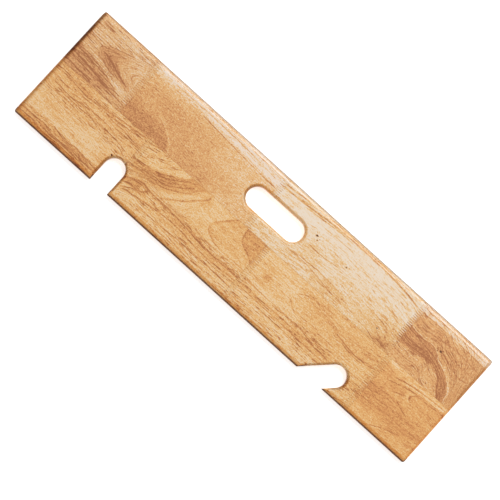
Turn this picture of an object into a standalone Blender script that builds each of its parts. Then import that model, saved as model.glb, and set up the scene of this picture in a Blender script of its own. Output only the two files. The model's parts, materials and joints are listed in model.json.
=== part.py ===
"""Transfer board: a solid wood board glued up from eight finger-jointed blocks.

The board is built in the order the real one is made.  Four blocks are finger-jointed end to end
into an upper stave and four into a lower stave, the two staves are glued edge to edge, and the
panel is then cut to its outline, slotted, notched and rounded over.  Each block here is its own
prism, with zigzag ends where it meets a neighbour, kept only where it lies inside the finished
board.  A thin gap stands in for each glue line.

X runs along the board, Y across it (+Y is the long edge without notches) and Z up.  The origin is
at the middle of the underside.
"""

import math

import bmesh
import bpy

MM = 0.001

# The finished board.
LENGTH = 770 * MM
WIDTH = 200 * MM
THICKNESS = 18 * MM
CORNER_RADIUS = 4 * MM        # the four corners, seen from above
LONG_EDGE_FLAT = 2 * MM       # height left flat between the two roundovers of a long edge
END_ROUND = 5 * MM            # roundover along each short end
OPENING_ROUND = 5 * MM        # roundover around the hand slot and the notches

# The hand slot, a long hole with round ends, parallel to the long edges.
SLOT_LENGTH = 105 * MM
SLOT_WIDTH = 35 * MM
SLOT_X = 1 * MM               # middle of the slot
SLOT_INSET = 55 * MM          # from the +Y edge to the slot's centre line

# The notches, two round-ended bays in the -Y edge.  Each is placed by the point where its centre
# line crosses the edge, runs its length along that line and leans by its angle towards +X.
NOTCH_WIDTH = 34 * MM
SQUARE_NOTCH_X = -218.5 * MM
SQUARE_NOTCH_LENGTH = 51.5 * MM
SQUARE_NOTCH_LEAN = math.radians(0)
SLANTED_NOTCH_X = 198 * MM
SLANTED_NOTCH_LENGTH = 56.5 * MM
SLANTED_NOTCH_LEAN = math.radians(45)

# The glued-up panel.
STAVE_SEAM_Y = 2.5 * MM       # the glue line between the two staves
UPPER_JOINTS_X = (-273 * MM, -19 * MM, 256 * MM)
LOWER_JOINTS_X = (-207 * MM, 26.5 * MM, 266 * MM)
FINGER_LENGTH = 9 * MM
FINGER_PITCH = 3.2 * MM       # wanted pitch; the stave's width takes a whole number of them
FINGER_TIP = 0.6 * MM         # flat at a finger's tip
GLUE_GAP = 0.3 * MM           # clearance between neighbouring blocks
FINGER_TO_NOTCH = 1 * MM      # least wood between the last finger and a notch that it would meet

# Mesh fineness and helper sizes.
ARC_SEGMENTS = 16             # segments in a half circle seen from above
ROUND_SEGMENTS = 6            # segments in a roundover
SMOOTH_ANGLE = math.radians(40)   # faces that meet at less than this are shaded as one curve
OVERSHOOT = 20 * MM           # how far helper solids run past the board

# Linear colour and roughness of each block's wood, upper stave then lower stave, from -X to +X.
UPPER_WOODS = (
    ((0.58, 0.33, 0.17), 0.42),
    ((0.66, 0.40, 0.20), 0.42),
    ((0.72, 0.51, 0.31), 0.40),
    ((0.58, 0.31, 0.15), 0.44),
)
LOWER_WOODS = (
    ((0.63, 0.36, 0.17), 0.42),
    ((0.65, 0.37, 0.16), 0.42),
    ((0.68, 0.41, 0.19), 0.40),
    ((0.64, 0.33, 0.13), 0.42),
)


def clear_scene():
    """Remove whatever objects the scene holds."""
    for item in list(bpy.data.objects):
        bpy.data.objects.remove(item, do_unlink=True)


def add_object(name, mesh):
    """Link a new object that carries the mesh."""
    item = bpy.data.objects.new(name, mesh)
    bpy.context.scene.collection.objects.link(item)
    return item


def mark_helper(item):
    """Set an object apart as a cutter or a guide."""
    item.hide_render = True
    item.display_type = 'WIRE'
    return item


def loft_mesh(name, rings):
    """Closed mesh through rings of equally many points, with an n-gon on the first and the last."""
    mesh = bpy.data.meshes.new(name)
    body = bmesh.new()
    loops = [[body.verts.new(point) for point in ring] for ring in rings]
    count = len(rings[0])
    for low, high in zip(loops, loops[1:]):
        for here in range(count):
            there = (here + 1) % count
            body.faces.new((low[here], low[there], high[there], high[here]))
    body.faces.new(loops[0])
    body.faces.new(loops[-1])
    bmesh.ops.recalc_face_normals(body, faces=body.faces)
    body.to_mesh(mesh)
    body.free()
    return mesh


def arc(centre, radius, start, end, segments):
    """Points on a circular arc, both ends included."""
    points = []
    for step in range(segments + 1):
        angle = start + (end - start) * step / segments
        points.append((centre[0] + radius * math.cos(angle), centre[1] + radius * math.sin(angle)))
    return points


def rounded_rectangle(low, high, radius, segments):
    """Counter-clockwise rectangle between two corners, with an arc at each of its corners."""
    outline = []
    corners = (
        (high[0] - radius, high[1] - radius),
        (low[0] + radius, high[1] - radius),
        (low[0] + radius, low[1] + radius),
        (high[0] - radius, low[1] + radius),
    )
    for quarter, corner in enumerate(corners):
        start = quarter * math.pi / 2
        outline += arc(corner, radius, start, start + math.pi / 2, segments)
    return outline


def add_boolean(item, operation, other):
    """Live exact Boolean between two objects."""
    modifier = item.modifiers.new(f"{operation.lower()}_{other.name}", 'BOOLEAN')
    modifier.operation = operation
    modifier.solver = 'EXACT'
    modifier.object = other


def long_edge_blank():
    """Bar with the board's cross-section: flat faces and nearly half-round long edges."""
    radius = (THICKNESS - LONG_EDGE_FLAT) / 2
    section = rounded_rectangle((-WIDTH / 2, 0), (WIDTH / 2, THICKNESS), radius, ROUND_SEGMENTS)
    reach = LENGTH / 2 + OVERSHOOT
    rings = [[(x, y, z) for y, z in section] for x in (-reach, reach)]
    return mark_helper(add_object("board_blank", loft_mesh("board_blank", rings)))


def end_rounding_guide():
    """Bar across the board with the roundovers of the two short ends."""
    section = rounded_rectangle((-LENGTH / 2, 0), (LENGTH / 2, THICKNESS), END_ROUND, ROUND_SEGMENTS)
    reach = WIDTH / 2 + OVERSHOOT
    rings = [[(x, y, z) for x, z in section] for y in (-reach, reach)]
    return mark_helper(add_object("end_rounding_guide", loft_mesh("end_rounding_guide", rings)))


def plan_guide():
    """Upright prism of the board's outline seen from above."""
    outline = rounded_rectangle((-LENGTH / 2, -WIDTH / 2), (LENGTH / 2, WIDTH / 2),
                                CORNER_RADIUS, ROUND_SEGMENTS)
    rings = [[(x, y, z) for x, y in outline] for z in (-OVERSHOOT, THICKNESS + OVERSHOOT)]
    return mark_helper(add_object("plan_guide", loft_mesh("plan_guide", rings)))


def flare_levels(radius):
    """Heights and outward growths of an opening's wall that is rounded over at both faces.

    The last chord of each roundover is carried on past the face, so it crosses the face cleanly.
    """
    top = []
    for step in range(ROUND_SEGMENTS + 1):
        angle = math.pi / 2 * step / ROUND_SEGMENTS
        top.append((THICKNESS - radius + radius * math.sin(angle), radius - radius * math.cos(angle)))
    (height, growth), (height_before, growth_before) = top[-1], top[-2]
    top.append((2 * height - height_before, 2 * growth - growth_before))
    bottom = [(THICKNESS - height, growth) for height, growth in reversed(top)]
    return bottom + top


def opening_cutter(name, outline_at):
    """Cutter for an opening; outline_at(growth) gives its outline, grown outward."""
    rings = []
    for height, growth in flare_levels(OPENING_ROUND):
        rings.append([(x, y, height) for x, y in outline_at(growth)])
    return mark_helper(add_object(name, loft_mesh(name, rings)))


def slot_outline(growth):
    """Long hole with round ends."""
    radius = SLOT_WIDTH / 2
    half_straight = SLOT_LENGTH / 2 - radius
    middle_y = WIDTH / 2 - SLOT_INSET
    right = arc((SLOT_X + half_straight, middle_y), radius + growth,
                -math.pi / 2, math.pi / 2, ARC_SEGMENTS)
    left = arc((SLOT_X - half_straight, middle_y), radius + growth,
               math.pi / 2, 3 * math.pi / 2, ARC_SEGMENTS)
    return right + left


def notch_centre(mouth_x, length, lean):
    """Centre of the notch's round inner end."""
    run = length - NOTCH_WIDTH / 2
    return mouth_x + run * math.sin(lean), -WIDTH / 2 + run * math.cos(lean)


def notch_outline(mouth_x, length, lean):
    """Outline function of a notch: a half circle and two straight sides that run out of the board."""
    centre = notch_centre(mouth_x, length, lean)
    run_out = length + OVERSHOOT + NOTCH_WIDTH

    def outline(growth):
        radius = NOTCH_WIDTH / 2 + growth
        end = arc(centre, radius, -lean, math.pi - lean, ARC_SEGMENTS)
        out_x = -run_out * math.sin(lean)
        out_y = -run_out * math.cos(lean)
        first, last = end[0], end[-1]
        return end + [(last[0] + out_x, last[1] + out_y), (first[0] + out_x, first[1] + out_y)]

    return outline


NOTCHES = (
    ("square_notch_cutter", SQUARE_NOTCH_X, SQUARE_NOTCH_LENGTH, SQUARE_NOTCH_LEAN),
    ("slanted_notch_cutter", SLANTED_NOTCH_X, SLANTED_NOTCH_LENGTH, SLANTED_NOTCH_LEAN),
)


def finished_board():
    """The whole board as one guide solid, with its outline, edges, slot and notches."""
    board = long_edge_blank()
    add_boolean(board, 'INTERSECT', end_rounding_guide())
    add_boolean(board, 'INTERSECT', plan_guide())
    add_boolean(board, 'DIFFERENCE', opening_cutter("hand_slot_cutter", slot_outline))
    for name, mouth_x, length, lean in NOTCHES:
        add_boolean(board, 'DIFFERENCE', opening_cutter(name, notch_outline(mouth_x, length, lean)))
    return board


def finger_floor(joint_x, low_y):
    """Lowest Y that a joint's fingers may reach: the stave's edge, or just above a notch they meet."""
    reach = FINGER_LENGTH / 2 + GLUE_GAP
    floor = low_y
    for _, mouth_x, length, lean in NOTCHES:
        centre_x, centre_y = notch_centre(mouth_x, length, lean)
        radius = NOTCH_WIDTH / 2
        left = min(centre_x, mouth_x) - radius
        right = max(centre_x, mouth_x) + radius
        if joint_x + reach > left and joint_x - reach < right:
            floor = max(floor, centre_y + radius + FINGER_TO_NOTCH)
    return floor


def joint_line(joint_x, low_y, high_y, side):
    """Zigzag end of a block from the stave's low edge to its high edge.

    side is +1 for the block at the joint's +X side and -1 for the block at its -X side.  Both
    follow one trapezoid wave, each set back square to it by half the glue gap.  The wave begins
    and ends with half a finger, set in from the stave's edge so that its tip isn't a feather.
    """
    wave_low = low_y + FINGER_TIP / 2
    wave_high = high_y - FINGER_TIP / 2
    count = round((wave_high - wave_low) / FINGER_PITCH)
    pitch = (wave_high - wave_low) / count
    rise = pitch / 2 - FINGER_TIP
    slope = math.atan2(rise, FINGER_LENGTH)
    set_back = GLUE_GAP / 2
    ease = side * set_back * (1 - math.sin(slope)) / math.cos(slope)
    near_x = joint_x - FINGER_LENGTH / 2 + side * set_back
    far_x = joint_x + FINGER_LENGTH / 2 + side * set_back
    near_half = FINGER_TIP / 2 - ease
    far_half = FINGER_TIP / 2 + ease

    first = max(0, math.ceil((finger_floor(joint_x, low_y) - wave_low) / pitch))
    points = [(near_x, low_y)]
    for finger in range(first, count):
        start = wave_low + finger * pitch
        middle = start + pitch / 2
        points.append((near_x, start + near_half))
        points.append((far_x, middle - far_half))
        points.append((far_x, middle + far_half))
        points.append((near_x, start + pitch - near_half))
    points.append((near_x, high_y))
    return points


def block_outline(left_x, right_x, low_y, high_y, at_seam):
    """Outline of one block before the panel is cut to shape.

    left_x and right_x are its joints, or None at an end of the board.  at_seam says whether the
    glue line between the staves is the block's 'low' or its 'high' edge.  The other edge and any
    end of the board run past the finished outline.
    """
    past = LENGTH / 2 + OVERSHOOT
    right = [(past, low_y), (past, high_y)]
    left = [(-past, low_y), (-past, high_y)]
    if right_x is not None:
        right = joint_line(right_x, low_y, high_y, -1)
    if left_x is not None:
        left = joint_line(left_x, low_y, high_y, 1)
    bottom = low_y + GLUE_GAP / 2 if at_seam == 'low' else low_y - OVERSHOOT
    top = high_y - GLUE_GAP / 2 if at_seam == 'high' else high_y + OVERSHOOT
    for side in (left, right):
        side[0] = (side[0][0], bottom)
        side[-1] = (side[-1][0], top)
    return right + left[::-1]


def wood(name, colour, roughness):
    """Oiled light wood of one block."""
    material = bpy.data.materials.new(name)
    material.use_nodes = True
    shader = material.node_tree.nodes["Principled BSDF"]
    shader.inputs["Base Color"].default_value = (*colour, 1)
    shader.inputs["Roughness"].default_value = roughness
    shader.inputs["Metallic"].default_value = 0
    return material


def settle(item):
    """Apply an object's modifiers and shade its rounded edges smooth."""
    graph = bpy.context.evaluated_depsgraph_get()
    mesh = bpy.data.meshes.new_from_object(item.evaluated_get(graph))
    item.modifiers.clear()
    item.data = mesh
    mesh.shade_smooth()
    mesh.set_sharp_from_angle(angle=SMOOTH_ANGLE)


def add_stave(stave, joints_x, woods, low_y, high_y, at_seam, board):
    """The blocks of one stave, from -X to +X, each kept where it lies inside the finished board."""
    edges = (None, *joints_x, None)
    for index, (colour, roughness) in enumerate(woods):
        name = f"{stave}_stave_block_{index + 1}"
        outline = block_outline(edges[index], edges[index + 1], low_y, high_y, at_seam)
        rings = [[(x, y, z) for x, y in outline] for z in (-OVERSHOOT, THICKNESS + OVERSHOOT)]
        block = add_object(name, loft_mesh(name, rings))
        block.data.materials.append(wood(f"{name}_wood", colour, roughness))
        add_boolean(block, 'INTERSECT', board)
        settle(block)


def main():
    clear_scene()
    board = finished_board()
    add_stave("upper", UPPER_JOINTS_X, UPPER_WOODS, STAVE_SEAM_Y, WIDTH / 2, 'low', board)
    add_stave("lower", LOWER_JOINTS_X, LOWER_WOODS, -WIDTH / 2, STAVE_SEAM_Y, 'high', board)


main()
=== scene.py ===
"""Transfer board: eight finger-jointed blocks of pale hardwood under a satin lacquer.

The board is two staves glued edge to edge, each stave four blocks glued end to end with finger
joints.  Every block is its own piece with its own wood: growth rings, heartwood, pale sapwood,
veins and knots are worked out as smooth fields over the block and stored on its points, and the
material turns them into wood with rings, fibres, pores and a satin lacquer.

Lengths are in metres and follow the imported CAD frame: X along the board, Y across it, Z up.  The
fields of the wood's figure are in millimetres in that same frame.
"""

import json
import math
from collections import namedtuple

import bpy
import numpy as np
from mathutils import Matrix, Vector


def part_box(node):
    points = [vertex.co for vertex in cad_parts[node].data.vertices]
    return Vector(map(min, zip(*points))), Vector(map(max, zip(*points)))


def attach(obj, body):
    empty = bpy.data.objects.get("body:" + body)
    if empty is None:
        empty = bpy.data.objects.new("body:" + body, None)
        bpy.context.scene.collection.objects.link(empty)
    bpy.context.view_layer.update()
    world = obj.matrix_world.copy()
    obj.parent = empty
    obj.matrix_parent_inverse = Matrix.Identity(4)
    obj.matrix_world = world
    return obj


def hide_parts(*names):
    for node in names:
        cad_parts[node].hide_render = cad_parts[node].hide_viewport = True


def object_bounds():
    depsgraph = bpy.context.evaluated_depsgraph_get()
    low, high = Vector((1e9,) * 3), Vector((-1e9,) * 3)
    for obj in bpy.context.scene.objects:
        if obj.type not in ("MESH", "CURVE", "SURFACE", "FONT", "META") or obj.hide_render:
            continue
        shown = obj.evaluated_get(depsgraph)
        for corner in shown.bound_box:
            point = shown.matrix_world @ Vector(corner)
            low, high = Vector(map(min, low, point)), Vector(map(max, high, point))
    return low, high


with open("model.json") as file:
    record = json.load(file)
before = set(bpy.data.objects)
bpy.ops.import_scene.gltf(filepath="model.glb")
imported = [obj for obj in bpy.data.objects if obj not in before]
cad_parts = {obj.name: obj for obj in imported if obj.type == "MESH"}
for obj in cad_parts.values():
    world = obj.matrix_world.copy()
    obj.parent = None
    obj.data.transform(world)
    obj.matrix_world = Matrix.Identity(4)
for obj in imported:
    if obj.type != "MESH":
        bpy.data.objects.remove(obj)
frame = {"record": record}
CAD_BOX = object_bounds()

bl_info = {
    "name": "Transfer Board",
    "version": (1, 0, 0),
    "blender": (4, 5, 0),
    "location": "View3D > Sidebar > Transfer Board",
    "description": "Builds a glued-up wooden transfer board and its studio",
    "category": "Object",
}

MM = 0.001
UPPER = tuple(f"upper_stave_block_{number}" for number in range(1, 5))
LOWER = tuple(f"lower_stave_block_{number}" for number in range(1, 5))

LOW_CORNER = Vector(CAD_BOX[0])
HIGH_CORNER = Vector(CAD_BOX[1])
THICKNESS = HIGH_CORNER.z - LOW_CORNER.z
FLOOR_GAP = 0.2 * MM     # how far the floor lies under the board
FLOOR_HALF = 4.0         # half the side of the square floor

# The blocks that each opening cuts into.
CUT_NAMES = {
    "hand_slot": UPPER[1:3],
    "square_notch": LOWER[0:2],
    "slanted_notch": LOWER[2:3],
}


def opening_centre(name):
    """Middle of one of the record's opening boxes, in plan."""
    for opening in frame["record"]["physics"]["openings"]:
        if opening["name"] == name:
            low, high = opening["box_m"]
            return (low[0] + high[0]) / 2, (low[1] + high[1]) / 2
    raise RuntimeError(f"the frame's record has no opening named {name}")


def between(low_node, high_node, axis):
    """Place along an axis where two neighbouring CAD blocks meet."""
    return (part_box(low_node)[1][axis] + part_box(high_node)[0][axis]) / 2


SEAM_Y = between(LOWER[0], UPPER[0], 1)
JOINTS_X = {
    "upper": [between(left, right, 0) for left, right in zip(UPPER, UPPER[1:])],
    "lower": [between(left, right, 0) for left, right in zip(LOWER, LOWER[1:])],
}


# ---------------------------------------------------------------------------------------------
# Figure of the wood: smooth fields over the board, in millimetres.

Figure = namedtuple("Figure", "rings heart pale vein vein_depth calm")


def smooth(low, high, value):
    """Smooth step from 0 at low to 1 at high; low may be the larger."""
    share = np.clip((value - low) / (high - low), 0, 1)
    return share * share * (3 - 2 * share)


def hill(x, y, centre, reach_x, reach_y):
    """Bell-shaped bump, 1 at its centre, that falls off over the two reaches."""
    return np.exp(-((x - centre[0]) / reach_x) ** 2 - ((y - centre[1]) / reach_y) ** 2)


def ridge(offset, width):
    """Bell-shaped ridge, 1 where the offset is 0."""
    return np.exp(-(offset / width) ** 2)


def run(x, points):
    """Y of a smooth line through the given points, which runs on straight beyond the outer two.

    Between two points it is a cubic whose slopes at the points are those of the chord between each
    point's neighbours.
    """
    along, height = np.array(points, float).T
    slope = np.gradient(height, along)
    cell = np.clip(np.searchsorted(along, x) - 1, 0, len(along) - 2)
    after = cell + 1
    width = along[after] - along[cell]
    share = (x - along[cell]) / width
    inner = np.clip(share, 0, 1)
    beyond = (share - inner) * width
    here = 2 * inner**3 - 3 * inner**2 + 1
    leave = inner**3 - 2 * inner**2 + inner
    there = -2 * inner**3 + 3 * inner**2
    arrive = inner**3 - inner**2
    value = (here * height[cell] + leave * width * slope[cell]
             + there * height[after] + arrive * width * slope[after])
    return value + beyond * np.where(share > 1, slope[after], slope[cell])


def ripple(x, y, seed, length, width):
    """Gentle irregular swell between about -1 and 1: a seeded sum of sine waves."""
    waves = 7
    usual_height = 3.2
    chance = np.random.default_rng(seed)
    total = np.zeros_like(x)
    for _ in range(waves):
        angle = chance.uniform(-0.5, 0.5)
        size = chance.uniform(0.6, 1.7)
        phase = chance.uniform(0, 2 * np.pi)
        along = x * np.cos(angle) / length + y * np.sin(angle) / length
        across = y * chance.choice((-1, 1)) / width
        total += np.sin(2 * np.pi * (along + across) / size + phase)
    return total / usual_height


def arrow(x, y, tip, spread, power=1.75):
    """Nested arrowheads (cathedral figure): 0 on the arrow through the tip and growing inward
    along +X.  The arrow's flanks follow x = tip + spread * |dy| ** power.
    """
    return (x - tip[0]) - spread * np.abs(y - tip[1]) ** power


VEIN_RIM = 1.6        # distance at which a vein or a knot has faded out
NO_VEIN = 9.0         # distance given to points that no vein comes near
ABSENT = 4            # what a vein's distance gains where the vein is absent


def strand(points, thickness, start, end, fade=12, depth=1.0):
    """A dark vein, as a function of x and y that gives its distance, presence and depth.

    The vein follows a smooth line through the points and fades in at start and out at end.  Its
    distance is counted in half thicknesses.
    """
    def vein(x, y):
        step = 0.5
        slope = (run(x + step, points) - run(x - step, points)) / (2 * step)
        distance = np.abs(y - run(x, points)) / np.sqrt(1 + slope**2)
        presence = smooth(start - fade, start + fade, x) * (1 - smooth(end - fade, end + fade, x))
        return distance / (thickness / 2), presence, depth

    return vein


def steep(points, thickness, start, end, fade=6, depth=1.0):
    """A vein that runs more across the board than along it: a strand with x and y swapped."""
    swapped = strand(points, thickness, start, end, fade, depth)
    return lambda x, y: swapped(y, x)


def pin(centre, length, width, depth=3.2):
    """A tiny dark knot, much deeper than a vein, whose rim is an ellipse."""
    def knot(x, y):
        distance = np.hypot((x - centre[0]) / length, (y - centre[1]) / width) * VEIN_RIM
        return distance, (distance < 3) * 1.0, depth

    return knot


def gather(x, y, veins):
    """The nearest of several veins and knots at each point, as one distance and one depth."""
    nearest = np.full_like(x, NO_VEIN)
    depth = np.zeros_like(x)
    for vein in veins:
        distance, presence, strength = vein(x, y)
        reach = distance + ABSENT * (1 - presence)
        closer = reach < nearest
        nearest = np.where(closer, reach, nearest)
        depth = np.where(closer, presence * strength, depth)
    return nearest, depth


def most(*fields):
    """The largest of several fields at each point."""
    return np.maximum.reduce(fields)


def figure_upper_1(x, y):
    """Arrowhead figure at the -X end over a reddish band with long dark lines."""
    sweep = arrow(x, y, (-356, 54), 0.383, 1.57)
    inside = smooth(-3, 5, sweep)
    flat = y / 3.3 + 0.012 * x + 0.25 * ripple(x, y, 11, 90, 40)
    rings = flat * (1 - inside) + (flat.mean() + sweep / 6) * inside
    red_top = run(x, [(-385, 40), (-345, 35), (-315, 29), (-285, 19), (-273, 16)])
    heart = 0.75 * smooth(-2, 5, red_top - y) * (1 - 0.55 * smooth(-325, -278, x))
    dark_line = run(x, [(-345, 55), (-330, 51), (-310, 44), (-280, 33)])
    dark_line = ridge(y - dark_line, 5) * smooth(-354, -340, x) * smooth(-274, -288, x)
    heart = np.maximum(heart, inside * (0.12 + 0.74 * smooth(-300, -335, x) + 0.65 * dark_line))
    heart = np.maximum(heart, 0.5 * hill(x, y, (-362, 85), 20, 4))
    pale = 0.65 * hill(x, y, (-288, 58), 18, 24) * (1 - heart) + 0.6 * hill(x, y, (-285, 28), 15, 5)
    # The pale band along the +Y edge is pale sapwood and partly a painted highlight of that edge.
    pale += 0.45 * smooth(80, 88, y) + 0.3 * hill(x, y, (-370, 68), 18, 7)
    veins = gather(x, y, [
        strand([(-385, 26), (-325, 19.5), (-277, 13)], 2.2, -400, -276, 4),
        strand([(-385, 37), (-345, 35), (-315, 27), (-285, 17)], 1.2, -378, -290, 8, 0.7),
        strand([(-385, 20), (-335, 15), (-285, 9)], 1.2, -380, -300, 8, 0.7),
        strand([(-385, 33), (-355, 32), (-325, 28), (-300, 24)], 1.3, -400, -320),
        strand([(-385, 10), (-350, 8), (-320, 6), (-300, 5)], 1.5, -400, -325),
        strand([(-380, 86.5), (-362, 85), (-340, 82)], 1.8, -379, -350, 5),
        strand([(-380, 90), (-365, 89), (-345, 88)], 1.4, -378, -354, 5),
        strand([(-385, 55), (-370, 55.5), (-357, 54)], 1.2, -383, -357, 5),
        strand([(-356, 54), (-350, 60), (-340, 66), (-325, 71), (-305, 77), (-285, 82)],
               1.3, -355, -305, 4, 0.8),
        strand([(-352, 57), (-340, 62), (-325, 65), (-300, 68)], 1.2, -350, -312, 6, 0.7),
        strand([(-356, 54), (-353, 49), (-340, 43), (-325, 38), (-305, 34), (-280, 26)],
               1.3, -354, -310, 4, 0.7),
        strand([(-345, 54), (-330, 50), (-310, 43), (-285, 34)], 1.8, -345, -288, 6),
        strand([(-335, 46), (-315, 40), (-295, 33)], 1.2, -332, -300, 6, 0.8),
    ])
    return Figure(rings, heart, pale, *veins, 0.5 * inside)


def figure_upper_2(x, y):
    """Orange mottled block with a darker corner patch and pale lines along the +Y edge."""
    top_points = [(-273, 84), (-185, 82), (-125, 78), (-55, 74), (-19, 73)]
    top = run(x, top_points)
    rings = (y - top) / 4.4 + 0.35 * ripple(x, y, 21, 130, 60)
    rings += 1.6 * hill(x, y, (-110, 8), 60, 16)
    edge = run(y, [(0, -178), (18, -188), (28, -202), (37, -219), (52, -248), (70, -268)])
    corner = smooth(-1.2, 1.2, edge - x) * (1 - smooth(28, 60, y))
    heart = 0.40 * smooth(-4, 30, top - y) * (1 - 0.7 * smooth(-150, -60, x))
    heart = np.maximum(heart, corner * (0.66 + 0.26 * smooth(35, 8, y)))
    heart = np.maximum(heart, 0.45 * hill(x, y, (-118, 8), 12, 6)) + 0.12 * smooth(36, 22, y)
    right = run(y, [(0, -92), (15, -82), (27, -64), (40, -48)])
    # The pale band along the +Y edge is pale sapwood and partly a painted highlight of that edge.
    pale = 0.85 * smooth(-5, 9, y - top) + 0.20 * smooth(-2, 6, x - right) * (1 - smooth(30, 44, y))
    pale += 0.40 * ridge(x - edge - 3, 1.6) * (1 - smooth(30, 45, y))
    pale += 0.25 * hill(x, y, (-90, 52), 60, 14)
    veins = gather(x, y, [
        strand(top_points, 1.3, -180, -20),
        strand([(-273, 88), (-150, 89.5), (-90, 88), (-19, 83)], 1.5, -240, -30),
        strand([(-273, 93), (-150, 95), (-19, 91)], 1.3, -250, -10),
        strand([(-273, 97.5), (-19, 97.5)], 1.2, -280, -10),
        strand([(-128, 7), (-115, 6), (-104, 4)], 1.2, -126, -109, 4, 0.6),
    ])
    return Figure(rings, heart, pale, *veins, 0.75 * smooth(6, -6, y - top))


def figure_upper_3(x, y):
    """Pale cream block with pin knots, lines that bow to the +Y edge and a reddish knot."""
    crest_points = [(-19, 83), (25, 86), (60, 89.5), (95, 92), (135, 93), (195, 91), (225, 88), (256, 82)]
    crest = run(x, crest_points)
    rings = (y - crest) / 4.6 + 0.30 * ripple(x, y, 31, 150, 70)
    rings += 1.2 * (hill(x, y, (68, 63), 5, 3) + hill(x, y, (131, 57), 5, 3))
    rings += 1.7 * hill(x, y, (245, 10), 20, 9)
    heart = 0.30 * smooth(150, 260, x) * (1 - smooth(35, 60, y)) + 1.2 * hill(x, y, (246, 9), 13, 6.5)
    heart += 0.45 * hill(x, y, (230, 6), 14, 4) + 0.25 * hill(x, y, (138, 14), 34, 7)
    heart += 0.18 * hill(x, y, (80, 46), 14, 7) + 0.2 * ridge(y - crest, 2.5)
    # Paler towards the +Y edge: pale wood, and partly a painted reflection of the softbox.
    pale = 0.5 + 0.45 * smooth(50, 85, y) - heart - 0.45 * smooth(0, 60, 60 - y)
    veins = gather(x, y, [
        strand(crest_points, 2.1, -30, 252),
        strand([(-19, 89), (35, 93), (75, 95.5), (135, 96), (256, 93)], 1.7, -30, 252),
        strand([(-19, 78), (40, 84), (95, 89), (125, 90)], 1.4, 20, 120),
        strand([(-19, 97.5), (256, 98)], 1.4, -30, 260),
        strand([(-19, 72), (75, 79), (130, 80), (215, 76)], 1.1, 60, 130),
        strand([(60, 46), (90, 45), (130, 50)], 1.0, 58, 125),
        strand([(45, 22), (110, 25), (175, 21)], 1.1, 48, 160),
        strand([(10, 18), (75, 21), (150, 12)], 1.0, 30, 150),
        strand([(215, 7), (235, 8), (256, 6)], 1.2, 222, 254, 5, 0.7),
        strand([(222, 18), (232, 15), (243, 13)], 1.4, 224, 240, 4, 0.9),
        strand([(238, 37), (243, 36), (248, 35)], 1.8, 240, 246, 2),
        strand([(246, 33), (250, 32), (254, 31.5)], 1.6, 248, 253, 2),
        pin((68, 63), 2.3, 1.9),
        pin((72.5, 57.5), 1.7, 1.4, 2.2),
        pin((75, 61), 1.3, 1.1, 1.7),
        pin((131, 57), 2.3, 1.6, 2.4),
        pin((136, 58.5), 1.3, 1.1, 1.4),
        pin((224, 21), 1.2, 1.0),
        pin((229, 19), 1.2, 0.9, 1.6),
        pin((232, 14), 1.4, 0.8, 1.6),
        pin((249, 11), 1.6, 0.8, 1.4),
        pin((245, 8), 7, 4, 0.6),
    ])
    return Figure(rings, heart, pale, *veins, 0 * x)


def figure_upper_4(x, y):
    """Reddish block crossed by a dark heartwood band that bends down to the glue line."""
    roof_points = [(256, 59), (268, 56), (280, 55), (312, 54), (317, 50), (322, 46), (330, 43), (340, 39),
                   (350, 33), (358, 25), (364, 15), (367, 3)]
    roof = run(x, roof_points)
    floor = run(x, [(256, 29), (280, 31), (300, 34), (315, 35), (327, 33), (336, 28), (344, 18),
                    (350, 10), (357, 1)])
    rings = (y - roof) / 3.2 + 0.18 * ripple(x, y, 41, 60, 40)
    step = 0.5
    slope = (run(x + step, roof_points) - run(x - step, roof_points)) / (2 * step)
    above = (y - roof) / np.hypot(1, slope)
    band = smooth(0.8, -0.8, above) * smooth(-4, 2, y - floor)
    pale_line = ridge(above - 1.7, 1.4) * (0.75 + 0.25 * smooth(300, 316, x))
    upper = 0.32 + 0.08 * smooth(318, 345, x) + 0.35 * hill(x, y, (300, 76), 5, 6)
    heart = np.maximum(band, upper * smooth(-4, 4, y - roof) * (1 - smooth(80, 87, y)))
    heart = np.maximum(heart, 0.19 * smooth(-6, 2, roof - y)) * (1 - 0.9 * pale_line)
    # The pale band along the +Y edge is pale sapwood and partly a painted highlight of that edge.
    pale = 0.85 * smooth(81, 89, y) + 0.45 * pale_line
    under_roof = [(place, height - 0.3) for place, height in roof_points]
    veins = gather(x, y, [
        strand([(256, 54), (295, 49), (318, 45), (336, 37), (350, 28), (358, 17), (362, 0)],
               1.0, 250, 380, 4),
        strand([(256, 40), (285, 42), (318, 40), (338, 32), (352, 18), (359, 0)], 1.0, 250, 380),
        strand([(256, 33), (285, 35), (322, 36), (340, 26), (353, 9)], 1.0, 262, 380),
        strand([(313, 61), (328, 57), (345, 51), (360, 47), (383, 50)], 1.6, 316, 378, 8, 0.7),
        strand([(300, 66), (330, 64), (355, 60), (383, 62)], 1.2, 300, 385, 12, 0.7),
        strand([(256, 66), (290, 69), (330, 74), (385, 71)], 1.2, 275, 385, 12, 0.7),
        strand(under_roof, 0.9, 250, 380, 4, 0.8),
        strand([(256, 84), (320, 85), (385, 83)], 1.2, 256, 385),
        strand([(256, 91), (320, 92), (385, 90)], 1.0, 256, 385),
        strand([(256, 97.5), (385, 97.5)], 1.2, 250, 390),
        pin((317, 58.5), 3.2, 1.7, 2.6),
        pin((320, 61), 1.6, 1.1, 2.0),
        pin((331, 9), 1.0, 2.0, 1.7),
        pin((312, 56), 1.4, 1.0),
    ])
    return Figure(rings, heart, pale, *veins, 0 * x)


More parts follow.
